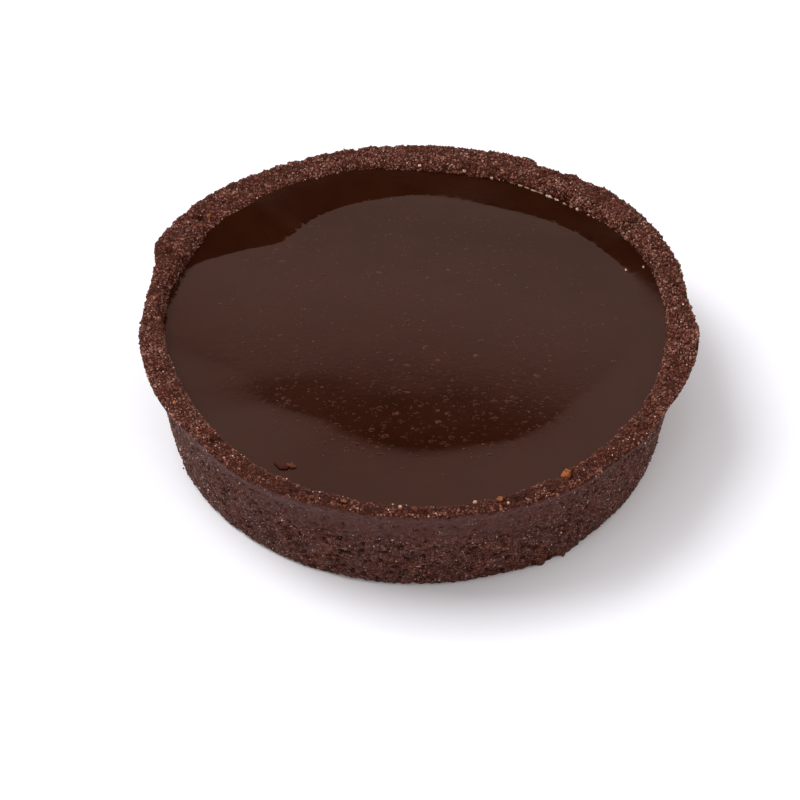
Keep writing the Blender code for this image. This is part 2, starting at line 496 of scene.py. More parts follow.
# Holes in the rim: the angle, and the distance from the middle, the width and the depth in mm.
RIM_HOLES = (
    (145, 38.7, 0.80, 0.8),
    (306, 36.7, 0.75, 0.8),
    (299, 37.5, 0.60, 0.5),
    (290.5, 38.5, 0.75, 0.8),
    (271.5, 38.8, 0.50, 0.7),
    (262, 37.9, 0.60, 0.5),
    (247, 36.9, 0.70, 0.5),
    (222, 37.2, 0.75, 0.6),
    (196, 38.0, 0.70, 0.6),
    (158, 38.9, 0.80, 0.6),
    (108, 37.6, 0.60, 0.5),
    (66, 38.3, 0.70, 0.6),
    (34, 38.6, 0.75, 0.6),
    (350, 38.1, 0.70, 0.5),
)
BURR = 0.75 * MM
BURR_STRETCH = (303, 13)  # degrees: the middle and the half width

for angle, level, half, thickness, depth in SIDE_CRACKS:
    away = (heights / MM + 0.2 * wander[:, None] - level) / thickness
    along_crack = in_stretches("foot", "low side", "side") * hump(degrees, angle, half)
    moves -= along_crack * np.exp(-away ** 2) * depth * MM
for angle, distance, width, depth in RIM_HOLES:
    turn = math.radians(angle)
    centre = (distance * MM * math.cos(turn), distance * MM * math.sin(turn), cad_high.z)
    away = np.linalg.norm(smooth_case - centre, axis=-1) / (width * MM)
    moves -= depth * MM * np.exp(-away ** 2)
burr = hump(degrees, *BURR_STRETCH) * (1 - smooth_step(heights, 0.3 * MM, 1.6 * MM))
ragged = [1 + noise.noise((30 * math.cos(angle), 30 * math.sin(angle), 1)) for angle in angles]
moves += in_stretches("foot", "low side") * burr * np.array(ragged)[:, None] * BURR
print("the deepest place is", round(-moves.min() / MM, 2), "mm below the plain crust")

# %% [markdown]
# By hand, the rim was left wider in one place and narrower in another, and its torn outer edge has a step. A
# move along the normal would tilt with the crown of the rim, so its two edges are pushed straight in or out.
# With that the points of the crust are done. How far each stands out from its neighbours is kept as well,
# since hollows catch less sugar, and their shade is painted into the crust's colour as a darker brown.

# %% The edges of the rim
# Where the rim is wider on its inner side, or narrower: the middle angle, the half width and how much in mm.
INNER_BULGES = ((128, 26, 0.9), (136, 8, 0.5), (170, 27, -1.3), (26, 60, -1.1))
# Where its torn outer edge stands further out, or further in, given in the same way.
OUTER_BULGES = ((55, 6, 0.7), (61, 3, -0.4), (65, 3, 0.35))
STANDING_HEIGHT = 0.7 * MM  # the relief over which a point goes from a hollow to a crest
STANDING_REACH = 12


def bulges_at(bulges):
    """How much an edge of the rim is moved at each angle."""
    return sum(width * MM * hump(degrees, middle, half) for middle, half, width in bulges)


inner_share = 1 - smooth_step(grid[..., 0], 35.4 * MM, 38.0 * MM)
inner_share = inner_share * in_stretches("rim", "inner side") * smooth_step(heights, 13.0 * MM, 15.5 * MM)
outer_share = smooth_step(grid[..., 0], 38.2 * MM, 39.4 * MM) * smooth_step(heights, 14.5 * MM, 16.5 * MM)
edge_moves = outer_share * bulges_at(OUTER_BULGES) - inner_share * bulges_at(INNER_BULGES)
outwards = np.stack([np.cos(angles), np.sin(angles), 0 * angles], axis=-1)[:, None]
case_points = smooth_case + case_normals * moves[..., None] + outwards * edge_moves[..., None]
case_points[..., 2] = np.maximum(case_points[..., 2], cad_low.z)  # nothing sinks into the table
standing = np.clip(0.5 + (moves - smooth_round(moves, STANDING_REACH)) / STANDING_HEIGHT, 0, 1)
print("the edges are moved by", round(edge_moves.min() / MM, 2), "to", round(edge_moves.max() / MM, 2), "mm")

# %% [markdown]
# The grid becomes a closed mesh. Its rows run from the middle of the underside, up the outside, over the
# rim and down to the middle of the floor, so it needs only one point to close it at each end. Three UV
# strips, one above the other, give the baked picture the same fineness both ways.

# %% A closed mesh from the grid
def build_object(name, points, faces, material, smooth=True, uv=None, shares=None):
    """An object with one mesh. The uv has a pair for each corner, and a share has a number for each point."""
    mesh = bpy.data.meshes.new(name)
    mesh.from_pydata(points.tolist(), [], faces)
    if smooth:
        mesh.shade_smooth()
    if uv is not None:
        layer = mesh.uv_layers.new(name="OFBake")
        layer.data.foreach_set("uv", np.asarray(uv, np.float32).ravel())
    for share_name, values in (shares or {}).items():
        attribute = mesh.attributes.new(share_name, "FLOAT", "POINT")
        attribute.data.foreach_set("value", np.asarray(values, np.float32))
    mesh.materials.append(material)
    made = bpy.data.objects.new(name, mesh)
    bpy.context.scene.collection.objects.link(made)
    return made


STRIPS = 3
UNSEEN_SHARE = 0.12  # of the room in the strips that parts out of sight get


def strip_place(column, along):
    """The place in the UV square of a point in one of the strips."""
    width = COLUMNS // STRIPS + 1
    strip = min(column // width, STRIPS - 1)
    return ((column - strip * width) / width, (strip + 0.02 + 0.96 * along) / STRIPS)


def case_mesh():
    """Points, faces and UV places of the closed case."""
    steps = np.linalg.norm(np.diff(case_points[0], axis=0), axis=-1)
    seen = np.isin(row_stretch, [stretch_names.index(name) for name in ("foot", "low side", "side", "rim")])
    along = np.concatenate([[0], np.cumsum(steps * np.where(seen[1:], 1, UNSEEN_SHARE))])
    along = (along + steps[0] * UNSEEN_SHARE) / (along[-1] + steps[0] * 2 * UNSEEN_SHARE)
    points = case_points.reshape(-1, 3)
    under = len(points)
    ends = np.array([[0, 0, case_points[:, 0, 2].mean()], [0, 0, case_points[:, -1, 2].mean()]])
    points = np.concatenate([points, ends])
    width = 1 / (COLUMNS // STRIPS + 1)
    faces, uv = [], []
    for column in range(COLUMNS):
        following = (column + 1) % COLUMNS
        here, there = column * ROWS, following * ROWS
        for row in range(ROWS - 1):
            faces.append((here + row, there + row, there + row + 1, here + row + 1))
            (u, low), (_, high) = strip_place(column, along[row]), strip_place(column, along[row + 1])
            uv += [(u, low), (u + width, low), (u + width, high), (u, high)]
        faces.append((under, there, here))
        u, low = strip_place(column, along[0])
        uv += [(u, low), (u + width, low), (u, low)]
        faces.append((under + 1, here + ROWS - 1, there + ROWS - 1))
        u, high = strip_place(column, along[-1])
        uv += [(u, high), (u, high), (u + width, high)]
    return points, faces, uv


case_corners, case_faces, case_uv = case_mesh()
print("the case has", 2 * COLUMNS * ROWS, "triangles")

# %% [markdown]
# ## The finish of the crust
#
# Cocoa dough bakes to a dark reddish brown, never an even one. Two browns, each with its own pale specks of
# sugar, change places in patches of a few millimetres. A single brown with noise on it would look like clay.

# %% Two browns
def grey(value):
    """A neutral colour of that brightness."""
    return (value, value, value)


def varied(tree, coordinates, scale, detail=4.0, roughness=0.6):
    """The value of a noise texture on the piece's own coordinates."""
    texture = add_node(tree, "ShaderNodeTexNoise", Scale=scale, Detail=detail, Roughness=roughness)
    link(tree, coordinates, texture.inputs["Vector"])
    return texture.outputs["Fac"]


MIX_FIRST, MIX_SECOND, MIX_RESULT = 6, 7, 2  # a mix node's colour sockets share their names with others


def mix_colours(tree, share, first, second):
    """The second colour over the first, by a share from 0 to 1. Each is a socket or a fixed colour."""
    mix = tree.nodes.new("ShaderNodeMix")
    mix.data_type = "RGBA"
    link(tree, share, mix.inputs["Factor"])
    for socket, colour in ((mix.inputs[MIX_FIRST], first), (mix.inputs[MIX_SECOND], second)):
        if isinstance(colour, tuple):
            socket.default_value = (*colour, 1)
        else:
            link(tree, colour, socket)
    return mix.outputs[MIX_RESULT]


crust_material, crust_tree, crust_shader = new_material("baked_crust")
crust_place = add_node(crust_tree, "ShaderNodeTexCoord").outputs["Object"]
patches = varied(crust_tree, crust_place, 330, 3.0, 0.55)
specks = varied(crust_tree, crust_place, 2700, 2.0, 0.6)
brown = add_ramp(
    crust_tree,
    [(0.30, (0.018, 0.0070, 0.0060)), (0.46, (0.056, 0.0235, 0.0200)), (0.60, (0.088, 0.040, 0.035)),
     (0.73, (0.270, 0.160, 0.140))],
    specks,
)
reddish = add_ramp(
    crust_tree,
    [(0.30, (0.022, 0.0050, 0.0032)), (0.48, (0.070, 0.0205, 0.0140)), (0.62, (0.112, 0.041, 0.030)),
     (0.74, (0.290, 0.150, 0.120))],
    specks,
)
kind = add_ramp(crust_tree, [(0.41, grey(0.0)), (0.58, grey(1.0))], patches)
crust_colour = mix_colours(crust_tree, kind, brown, reddish)
print("the baked crust has", len(crust_tree.nodes), "nodes so far")

# %% [markdown]
# Where the dough was pressed against the tin, fat came to the surface, and the skin is greyer, with stains.
# It lies over the browns by a share that the mesh carries for each point. A painted picture could do that
# too, but a share made with the relief follows it exactly.

# %% The greasy skin
def share_of(tree, name):
    """The value of a share that the mesh carries."""
    return add_node(tree, "ShaderNodeAttribute", attribute_name=name).outputs["Fac"]


greasy = add_ramp(
    crust_tree,
    [(0.32, (0.034, 0.0125, 0.0108)), (0.50, (0.062, 0.0256, 0.0228)), (0.62, (0.090, 0.045, 0.041)),
     (0.74, (0.200, 0.125, 0.112))],
    varied(crust_tree, crust_place, 1500, 6.0, 0.80),
)
stained = add_ramp(crust_tree, [(0.47, grey(0.0)), (0.66, grey(0.6))], patches)
greasy = mix_colours(crust_tree, stained, greasy, (0.058, 0.0180, 0.0135))
crust_colour = mix_colours(crust_tree, share_of(crust_tree, "pressed"), crust_colour, greasy)
print("the baked crust has", len(crust_tree.nodes), "nodes so far")

# %% [markdown]
# Little light gets into splits and hollows, so their shade is painted into the colour: dark lines in the
# splits and dark patches in the hollows. The splits are the middle values of a noise that is squeezed in
# height, which makes thin lines along the side. The hollows are known from the relief, and so is the ground
# under the sand, which is painted dark as the shade in the gaps between the grains. The finest relief of all,
# too fine for the mesh, is a bump.

# %% Painted shade in splits and hollows, and the finest relief
def multiply(tree, first, second):
    """The product of two values."""
    product = add_node(tree, "ShaderNodeMath", operation="MULTIPLY")
    link(tree, first, product.inputs[0])
    link(tree, second, product.inputs[1])
    return product.outputs["Value"]


def add_bump(tree, shader, height_socket, distance, strength):
    """Fine relief in the shader, from a height of 0 to 1 that stands for that distance."""
    bump = add_node(tree, "ShaderNodeBump", Strength=strength, Distance=distance)
    link(tree, height_socket, bump.inputs["Height"])
    link(tree, bump.outputs["Normal"], shader.inputs["Normal"])


def along_side(tree, coordinates, squeeze):
    """The coordinates squeezed in height, for marks that run along the side."""
    mapping = add_node(tree, "ShaderNodeMapping")
    mapping.inputs["Scale"].default_value = (1, 1, squeeze)
    link(tree, coordinates, mapping.inputs["Vector"])
    return mapping.outputs["Vector"]


# Painted shade: thin dark lines along the side stand for the shade in the splits.
split_shade = add_ramp(
    crust_tree,
    [(0.455, grey(0.0)), (0.49, grey(1.0)), (0.51, grey(1.0)), (0.545, grey(0.0))],
    varied(crust_tree, along_side(crust_tree, crust_place, 3.2), 420, 3.0, 0.55),
)
split_shade = multiply(crust_tree, split_shade, share_of(crust_tree, "cracked"))
crust_colour = mix_colours(crust_tree, split_shade, crust_colour, (0.024, 0.0050, 0.0028))
# Painted shade: the hollows of the relief get a dark brown.
hollow_shade = add_ramp(crust_tree, [(0.12, grey(1.0)), (0.50, grey(0.0))], share_of(crust_tree, "standing"))
crust_colour = mix_colours(crust_tree, hollow_shade, crust_colour, (0.018, 0.0038, 0.0020))
# Painted shade: the ground under the sand of the rim is dark, for the gaps between the grains.
crust_colour = mix_colours(crust_tree, share_of(crust_tree, "sand"), crust_colour, (0.028, 0.0064, 0.0034))
link(crust_tree, crust_colour, crust_shader.inputs["Base Color"])
crust_shader.inputs["Roughness"].default_value = 0.70
crust_shader.inputs["Specular IOR Level"].default_value = 0.12
crust_shader.inputs["Specular Tint"].default_value = (1.0, 0.66, 0.58, 1)
add_bump(crust_tree, crust_shader, varied(crust_tree, crust_place, 2400, 4.0, 0.75), 0.14 * MM, 1.0)
print("the baked crust has", len(crust_tree.nodes), "nodes in all")

# %% [markdown]
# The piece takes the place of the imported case. The shares of the grid go into its mesh as attributes, and
# its two closing points, which nobody sees, get none.

# %% The case
ends = [0, 0]
shares = {
    "sand": 0.8 * np.concatenate([np.clip(sandy, 0, 1).ravel(), ends]),
    "standing": np.concatenate([standing.ravel(), ends]),
    "pressed": 0.85 * np.concatenate([pressed.ravel(), ends]),
    "cracked": 0.8 * np.concatenate([grainy.ravel(), ends]),
}
crust = build_object(
    "shortcrust_case", case_corners, case_faces, crust_material, uv=case_uv, shares=shares,
)
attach(crust, "root")
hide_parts("pastry_case")
print("the case is made of", len(case_faces), "faces")

# %% [markdown]
# ## The grain of the crust
#
# The trimmed rim is all sand: granules of sugar, flour and cocoa a third of a millimetre across, with dark
# gaps between them. Relief alone can't undercut, so it never gives those gaps. Real granules do: thousands
# of small uneven solids, set half into the surface. Particles or instances would be dropped by the export,
# so each kind of grain is one joined mesh, made from arrays.
#
# A granule needs few faces to look rough at that size. Ball-like ones have twenty, and the small chips of
# sugar on the side have eight.

# %% Two small solids
def icosahedron():
    """The corners and faces of a solid of twenty triangles inside a ball of radius 1."""
    golden = (1 + math.sqrt(5)) / 2
    corners = []
    for first in (-1, 1):
        for second in (-golden, golden):
            corners += [(0, first, second), (first, second, 0), (second, 0, first)]
    corners = np.array(corners) / math.hypot(1, golden)
    edge = np.linalg.norm(corners[:, None] - corners[None], axis=-1)
    near = edge < edge[edge > 0.1].min() * 1.01
    faces = []
    for a in range(12):
        for b in range(a + 1, 12):
            for c in range(b + 1, 12):
                if near[a, b] and near[b, c] and near[a, c]:
                    across = np.cross(corners[b] - corners[a], corners[c] - corners[a])
                    faces.append((a, b, c) if across @ corners[a] > 0 else (a, c, b))
    return corners, np.array(faces)


def octahedron():
    """The corners and faces of a solid of eight triangles inside a ball of radius 1."""
    corners = np.array([(1, 0, 0), (-1, 0, 0), (0, 1, 0), (0, -1, 0), (0, 0, 1), (0, 0, -1)], float)
    faces = [(0, 2, 4), (2, 1, 4), (1, 3, 4), (3, 0, 4), (2, 0, 5), (1, 2, 5), (3, 1, 5), (0, 3, 5)]
    return corners, np.array(faces)


ball = icosahedron()
chip = octahedron()
print("a granule has", len(ball[1]), "faces and a chip has", len(chip[1]))

# %% [markdown]
# Every copy is turned at random, stretched, and gets its corners pulled in or out, so that no two are
# alike. Each also carries a tone, from dark to light, which its finish turns into a colour.

# %% Many solids in one mesh
def random_turns(count):
    """Random rotation matrices."""
    quaternions = chance.normal(size=(count, 4))
    w, x, y, z = (quaternions / np.linalg.norm(quaternions, axis=1, keepdims=True)).T
    return np.stack([
        np.stack([1 - 2 * (y * y + z * z), 2 * (x * y - z * w), 2 * (x * z + y * w)], -1),
        np.stack([2 * (x * y + z * w), 1 - 2 * (x * x + z * z), 2 * (y * z - x * w)], -1),
        np.stack([2 * (x * z - y * w), 2 * (y * z + x * w), 1 - 2 * (x * x + y * y)], -1),
    ], 1)


def many_solids(name, corners, faces, places, radii, tones, material, unevenness=0.26, smooth=True):
    """One object that holds a small uneven copy of a solid at each place."""
    count = len(places)
    shapes = corners[None] * (1 + chance.uniform(-unevenness, unevenness, (count, len(corners), 1)))
    shapes = shapes * chance.uniform(0.6, 1.3, (count, 1, 3)) * radii[:, None, None]
    shapes = np.einsum("nij,nkj->nki", random_turns(count), shapes) + places[:, None]
    all_faces = faces[None] + (np.arange(count) * len(corners))[:, None, None]
    cells = math.ceil(math.sqrt(count))
    cell = np.stack([np.arange(count) % cells, np.arange(count) // cells], -1)
    face_uv = np.array([(0.2, 0.2), (0.8, 0.2), (0.5, 0.8), (0.2, 0.8)])[: faces.shape[1]]
    uv = (cell[:, None, None] + face_uv[None, None] + np.zeros((count, len(faces), 1, 1))) / cells
    return build_object(
        name, shapes.reshape(-1, 3), all_faces.reshape(-1, faces.shape[1]).tolist(), material,
        smooth=smooth, uv=uv.reshape(-1, 2), shares={"tone": np.repeat(tones, len(corners))},
    )


print("a granule has", len(ball[0]), "corners and a chip has", len(chip[0]))

# %% [markdown]
# Where the grains lie is drawn by chance: a face of the crust is the likelier to get one the larger it is
# and the denser the grains are there. Two grains closer than their spacing would melt into a lump, so each
# one is checked against those near it. Dividing space into cells keeps that quick.

# %% Places on the crust
def scatter_on_case(wanted, density, spacing):
    """Places and normals on the crust, by a density for each grid point, no closer than the spacing."""
    following = np.roll(case_points, -1, axis=0)
    across = following[:, :-1] - case_points[:, :-1]
    along = case_points[:, 1:] - case_points[:, :-1]
    areas = np.linalg.norm(np.cross(across, along), axis=-1)
    weights = (areas * density[:, :-1]).ravel()
    tries = chance.choice(len(weights), size=wanted * 3, p=weights / weights.sum())
    column, row = np.unravel_index(tries, areas.shape)
    share = chance.uniform(size=(2, len(tries), 1))
    places = case_points[column, row] + across[column, row] * share[0] + along[column, row] * share[1]
    normals = case_normals[column, row]
    taken, kept = {}, []
    cells = np.floor(places / spacing).astype(int)
    for index, cell in enumerate(map(tuple, cells)):
        near = [
            taken.get((cell[0] + dx, cell[1] + dy, cell[2] + dz))
            for dx in (-1, 0, 1) for dy in (-1, 0, 1) for dz in (-1, 0, 1)
        ]
        near = [other for other in near if other is not None]
        if near and np.sum((places[near] - places[index]) ** 2, axis=1).min() < spacing ** 2:
            continue
        taken[cell] = index
        kept.append(index)
        if len(kept) == wanted:
            break
    return places[kept], normals[kept]


print("faces of the crust that grains are drawn from:", COLUMNS * (ROWS - 1))

# %% [markdown]
# There are four finishes for grains: dough dark with cocoa and dough with sugar in it on the rim, toasted
# dough and pale sugar on the side. They differ only in their colours, so one function makes them all.
# Within a grain the colour is a little uneven, since a grain of one flat colour looks like plastic.

# %% Finishes for grains
REDDER = (1.05, 0.75, 0.72)  # of each part of the middle colour, where a grain is redder


def grain_finish(name, dark, middle, light, roughness):
    """A material for grains: a colour for each grain by its tone, a little uneven within the grain."""
    material, tree, shader = new_material(name)
    place = add_node(tree, "ShaderNodeTexCoord").outputs["Object"]
    colour = add_ramp(tree, [(0.0, dark), (0.5, middle), (1.0, light)], share_of(tree, "tone"))
    red = tuple(part * share for part, share in zip(middle, REDDER))
    reddened = add_ramp(tree, [(0.42, grey(0.0)), (0.62, grey(0.7))], varied(tree, place, 500, 2.0))
    redder = mix_colours(tree, reddened, colour, red)
    darker = add_ramp(tree, [(0.32, grey(0.0)), (0.58, grey(1.0))], varied(tree, place, 5000, 2.0))
    link(tree, mix_colours(tree, darker, dark, redder), shader.inputs["Base Color"])
    shader.inputs["Roughness"].default_value = roughness
    shader.inputs["Specular IOR Level"].default_value = 0.2
    shader.inputs["Specular Tint"].default_value = (1.0, 0.70, 0.60, 1)
    return material


cocoa_grain = grain_finish(
    "cocoa_grain", (0.032, 0.0078, 0.0046), (0.120, 0.037, 0.024), (0.250, 0.104, 0.075), 0.5,
)
sugary_grain = grain_finish(
    "sugary_grain", (0.080, 0.024, 0.015), (0.220, 0.090, 0.064), (0.460, 0.270, 0.212), 0.42,
)
toasted_grain = grain_finish(
    "toasted_grain", (0.026, 0.0080, 0.0060), (0.092, 0.035, 0.0275), (0.270, 0.145, 0.118), 0.5,
)
pale_grain = grain_finish(
    "pale_grain", (0.075, 0.032, 0.025), (0.250, 0.145, 0.118), (0.660, 0.480, 0.410), 0.4,
)
print("finishes:", [finish.name for finish in (cocoa_grain, sugary_grain, toasted_grain, pale_grain)])

# %% [markdown]
# The tones aren't the same all round. Grains on the crest of the rim and behind are paler, which is
# painted light, and those on the front of the rim are darker, which is painted shade, most of all near its
# inner edge; a pale line on the outermost front edge is a painted highlight. Neighbouring grains have tones
# alike, in clumps. Each rule is a line of a table: how much it adds to the tone, on which part of the rim,
# and round which angle.

# %% Tones of the grains
def angles_of(places):
    """The angle of each place round the tart, in degrees."""
    return np.degrees(np.arctan2(places[:, 1], places[:, 0]))


def on_rim(places):
    """1 on the rim and 0 on the side."""
    return smooth_step(places[:, 2], 14 * MM, 16 * MM)


# How much paler the grains are on a part of the rim, as painted light, or darker where it is below 0, as
# painted shade, and the middle and the half width of the stretch.
PAINTED_LIGHT_AND_SHADE = (
    (0.15, "whole", 90, 70),
    (0.10, "whole", 45, 32),
    (0.14, "inner", 45, 32),
    (0.12, "inner", 115, 62),
    (-0.25, "outside", 50, 14),
    (0.18, "whole", 0, 34),
    (0.12, "whole", 190, 60),
    (0.15, "outside", 210, 30),
    (0.12, "outside", 350, 20),
    (0.46, "outermost", 290, 85),
    (-0.29, "whole", 270, 62),
    (-0.32, "shaded_inner", 280, 90),
)
# Painted light on the crest of the rim, except on its darker front.
CREST = (37.0, 0.9)  # its distance from the axis and its half width, in mm
CREST_PALER = 0.14
DARK_FRONT = (278, 62)


def painted_lightness(places):
    """How much lighter the grains are painted on some parts of the rim than on others: painted light and
    shade.
    """
    azimuths = angles_of(places)
    distances = np.hypot(places[:, 0], places[:, 1])
    parts = {
        "whole": 1,
        "inner": 1 - smooth_step(distances, 36.2 * MM, 37.8 * MM),
        "shaded_inner": 1 - smooth_step(distances, 37.3 * MM, 38.3 * MM),
        "outside": smooth_step(distances, 37.4 * MM, 38.4 * MM),
        "outermost": smooth_step(distances, 38.8 * MM, 39.5 * MM),
    }
    added = sum(amount * parts[part] * hump(azimuths, middle, half) for amount, part, middle, half in PAINTED_LIGHT_AND_SHADE)
    crest = np.exp(-((distances / MM - CREST[0]) / CREST[1]) ** 2) * (1 - hump(azimuths, *DARK_FRONT))
    return on_rim(places) * (CREST_PALER * crest + added)


def clumping(places):
    """How strongly the tones of the grains follow clumps: more in front and less behind."""
    azimuths = angles_of(places)
    return 1 + on_rim(places) * (1.1 * hump(azimuths, 275, 62) - 0.4 * hump(azimuths, 90, 60))


crest_behind = np.array([[0, RIM_MIDDLE, 18 * MM]])
print("tone added on the crest behind:", round(float(painted_lightness(crest_behind)[0]), 2))

# %% [markdown]
# Each kind of grain is then strewn where the crust has it: more where it stands out, and in loose patches.
# Large granules are sunk deep, and sand and sugar lie on and between them.

# %% Five kinds of grain
def patchiness(shift):
    """For each point of the grid, a share that gathers the grains in loose patches of a few millimetres."""
    waves = np.array([
        [noise.noise((Vector(point) / (2.2 * MM)) + Vector((shift, 0, 0))) for point in column[::4]]
        for column in smooth_case[::4]
    ])
    return np.clip(0.55 + 1.1 * waves, 0.05, 1.5).repeat(4, axis=0).repeat(4, axis=1)[:COLUMNS, :ROWS]


def add_grains(name, solid, material, wanted, density, spacing, smallest, largest, sunk):
    """One kind of grain on the crust: how many, where, how large, and the share of each that is sunk in."""
    places, normals = scatter_on_case(wanted, density, spacing)
    radii = (smallest + (largest - smallest) * chance.uniform(size=len(places)) ** 1.5) / 2
    places = places + normals * (radii * (1 - 2 * sunk))[:, None]
    spots = [Vector(place) for place in places]
    clumps = np.array([0.3 * noise.noise(spot / (3 * MM)) + 0.6 * noise.noise(spot / MM) for spot in spots])
    clumped = clumping(places)
    azimuths = angles_of(places)
    spread = 0.24 - on_rim(places) * (0.10 + 0.06 * hump(azimuths, 90, 70))
    scattered = chance.normal(0, 1, len(places)) * spread / np.sqrt(clumped)
    tones = np.clip(0.5 + scattered + clumps * clumped + painted_lightness(places), 0, 1)
    grains = many_solids(name, *solid, places, radii, tones, material)
    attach(grains, "root")
    print(name, len(places), "grains,", len(places) * len(solid[1]), "triangles")


above_table = smooth_step(heights, 0.35 * MM, 0.6 * MM)
patchy = patchiness(0) * above_table
other_patchy = patchiness(50) * above_table
standing_out = 0.15 + standing ** 2
front_rim = hump(degrees, 275, 62) * in_stretches("rim")
# Grains are thicker on the right of the side, around 315 degrees, which lightens it there: painted light.
side = grainy * (1 + 0.5 * hump(degrees, 315, 42)) + 0.22 * pressed
# Pale sugar grains are thicker on the inner rim behind on the right: partly real sugar, partly a painted
# sheen.
dust_and_sheen = 1 + 1.8 * hump(degrees, 45, 36) * (grid[..., 0] < RIM_MIDDLE)
sugared = other_patchy * standing_out * (1 - 0.6 * front_rim) * dust_and_sheen
add_grains(
    "rim_granules", ball, cocoa_grain, 4000, sandy * patchy * standing_out,
    spacing=0.38 * MM, smallest=0.40 * MM, largest=0.70 * MM, sunk=0.70,
)
add_grains(
    "rim_sand", ball, cocoa_grain, 8800, sandy,
    spacing=0.18 * MM, smallest=0.20 * MM, largest=0.40 * MM, sunk=0.58,
)
add_grains(
    "rim_sugar", ball, sugary_grain, 4200, sandy * sugared,
    spacing=0.22 * MM, smallest=0.18 * MM, largest=0.42 * MM, sunk=0.48,
)
add_grains(
    "side_sand", ball, toasted_grain, 4600, side * patchy,
    spacing=0.26 * MM, smallest=0.20 * MM, largest=0.36 * MM, sunk=0.72,
)
add_grains(
    "side_sugar", chip, pale_grain, 9500, side * other_patchy,
    spacing=0.16 * MM, smallest=0.13 * MM, largest=0.26 * MM, sunk=0.55,
)

# %% [markdown]
# Here and there a whole crystal of sugar lies open and catches the light. A crystal has flat faces, so
# these are uneven cubes with flat shading.

# %% Sugar crystals
cube_corners = np.array([(x, y, z) for x in (-1, 1) for y in (-1, 1) for z in (-1, 1)]) / math.sqrt(3)
cube_faces = np.array([(0, 1, 3, 2), (4, 6, 7, 5), (0, 4, 5, 1), (2, 3, 7, 6), (0, 2, 6, 4), (1, 5, 7, 3)])

crystal_material, crystal_tree, crystal_shader = new_material("sugar_crystal")
crystal_colour = add_ramp(
    crystal_tree, [(0.0, (0.30, 0.13, 0.09)), (1.0, (0.70, 0.50, 0.42))], share_of(crystal_tree, "tone"),
)
link(crystal_tree, crystal_colour, crystal_shader.inputs["Base Color"])
crystal_shader.inputs["Roughness"].default_value = 0.22

places, normals = scatter_on_case(900, (sandy + 0.35 * grainy) * other_patchy, 0.5 * MM)
radii = chance.uniform(0.14 * MM, 0.30 * MM, len(places)) / 2
crystals = many_solids(
    "sugar_crystals", cube_corners, cube_faces, places + normals * radii[:, None] * 0.6, radii,
    chance.uniform(0, 1, len(places)), crystal_material, unevenness=0.08, smooth=False,
)
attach(crystals, "root")
print("sugar crystals:", len(places))

# %% [markdown]
# ## The ganache
#
# Ganache is poured in warm and sets with a skin. It climbs the pastry at its edge, it sank a little in a
# ring inside that, and its middle stayed gently domed. Those slopes are only a few degrees, but they decide
# what the surface mirrors, so they are modelled as rings of points and not painted. The piece reaches a
# little way into the crust, so that no gap shows between the two.

# %% Sizes of the filling
FILLING_COLUMNS = 600
DOME_RINGS = 50
EDGE_RINGS = 34
DOME_MIDDLE = Vector((0, 2.3 * MM, 0))
MOAT_RADIUS = 27.1 * MM
MOAT_LEVEL = 16.05 * MM
DOME_RISE = 1.30 * MM
INTO_CRUST = 0.45 * MM
EDGE_LEVEL = 16.8 * MM
BACK_SLOPES = (5.7, 6.8)  # degrees, at the moat and at the crust
FRONT_SLOPES = (0.6, 1.0)
# Where the climb starts steeper: the middle angle, the half width and how much in degrees.
STEEPER = ((120, 45, 7.0),)
MOAT_ROUNDING = (1.5 * MM, 0.22 * MM)  # over which the slope turns, in front and behind
# Where it turns more slowly: the middle angle, the half width and how much in mm.
SOFT_CLIMBS = ((155, 28, 0.7), (198, 26, 12.0))
NARROWEST_CLIMB = 0.8 * MM
JAGS_INSIDE = 0.2 * MM  # taken off the ring before the jags, which stand out that far on average
# Over how many columns to each side the walls, the ring, the moat and the width of the climb are averaged.
WALL_REACH = 4
RING_REACH = 7
MOAT_REACH = 6
WIDTH_REACH = 14
TWIST = 0.0006 / MM  # the skin falls towards the front a little more on the left
SIDE_FALL = 0.00016 / MM ** 2  # and near the wall on both sides, more the further out
SIDE_FALL_FROM = 20 * MM
# The lowest ring round the dome: the angle, and the distance from the dome's middle in mm.
LOWEST_RING = (
    (0, 31.6), (10, 32.7), (20, 32.9), (30, 31.6), (40, 30.9), (50, 29.6), (60, 28.1), (70, 27.5), (80, 27.6),
    (90, 27.8), (100, 27.1), (110, 27.1), (120, 26.9), (127, 26.5), (132, 26.0), (137, 25.2), (141, 25.2),
    (145, 27.2), (150, 29.8), (155, 31.6), (160, 35.5), (165, 37.0), (180, 37.0), (190, 33.5), (200, 27.4),
    (210, 25.9), (217, 27.0), (225, 26.0), (240, 24.0), (250, 25.3), (260, 26.0), (275, 26.9), (285, 26.7),
    (300, 28.3), (310, 28.2), (320, 27.7), (330, 28.2), (345, 30.1),
)
print("the lowest ring is given at", len(LOWEST_RING), "angles")

# %% [markdown]
# The lowest ring isn't a circle, as ganache never sets evenly: on the left it runs close to the wall. From
# the ring the skin climbs to the wall, steeply behind and hardly at all in front, and it turns from the dome
# into the climb over a short rounding. All this is worked out for every angle at once, in arrays.

# %% The lowest ring and the climb
crust_top = surface_tree(crust)


def jag(angle):
    """The small unevenness of the lowest ring."""
    turn = level_ray(angle)
    uneven = 0.25 * noise.noise(turn * 6) + 0.32 * noise.noise(turn * 16) + 0.46 * noise.noise(turn * 36)
    return MM * max(0, 0.22 + uneven)


def reach_of(tree, angle, level):
    """How far a piece is from the middle of the dome, at an angle and a level."""
    start = DOME_MIDDLE + Vector((0, 0, level))
    return (tree.ray_cast(start, level_ray(angle))[0] - start).length


def dome_level(reach):
    """Height of the domed middle at a distance from its top."""
    return MOAT_LEVEL + DOME_RISE * (1 - (reach / MOAT_RADIUS) ** 2)


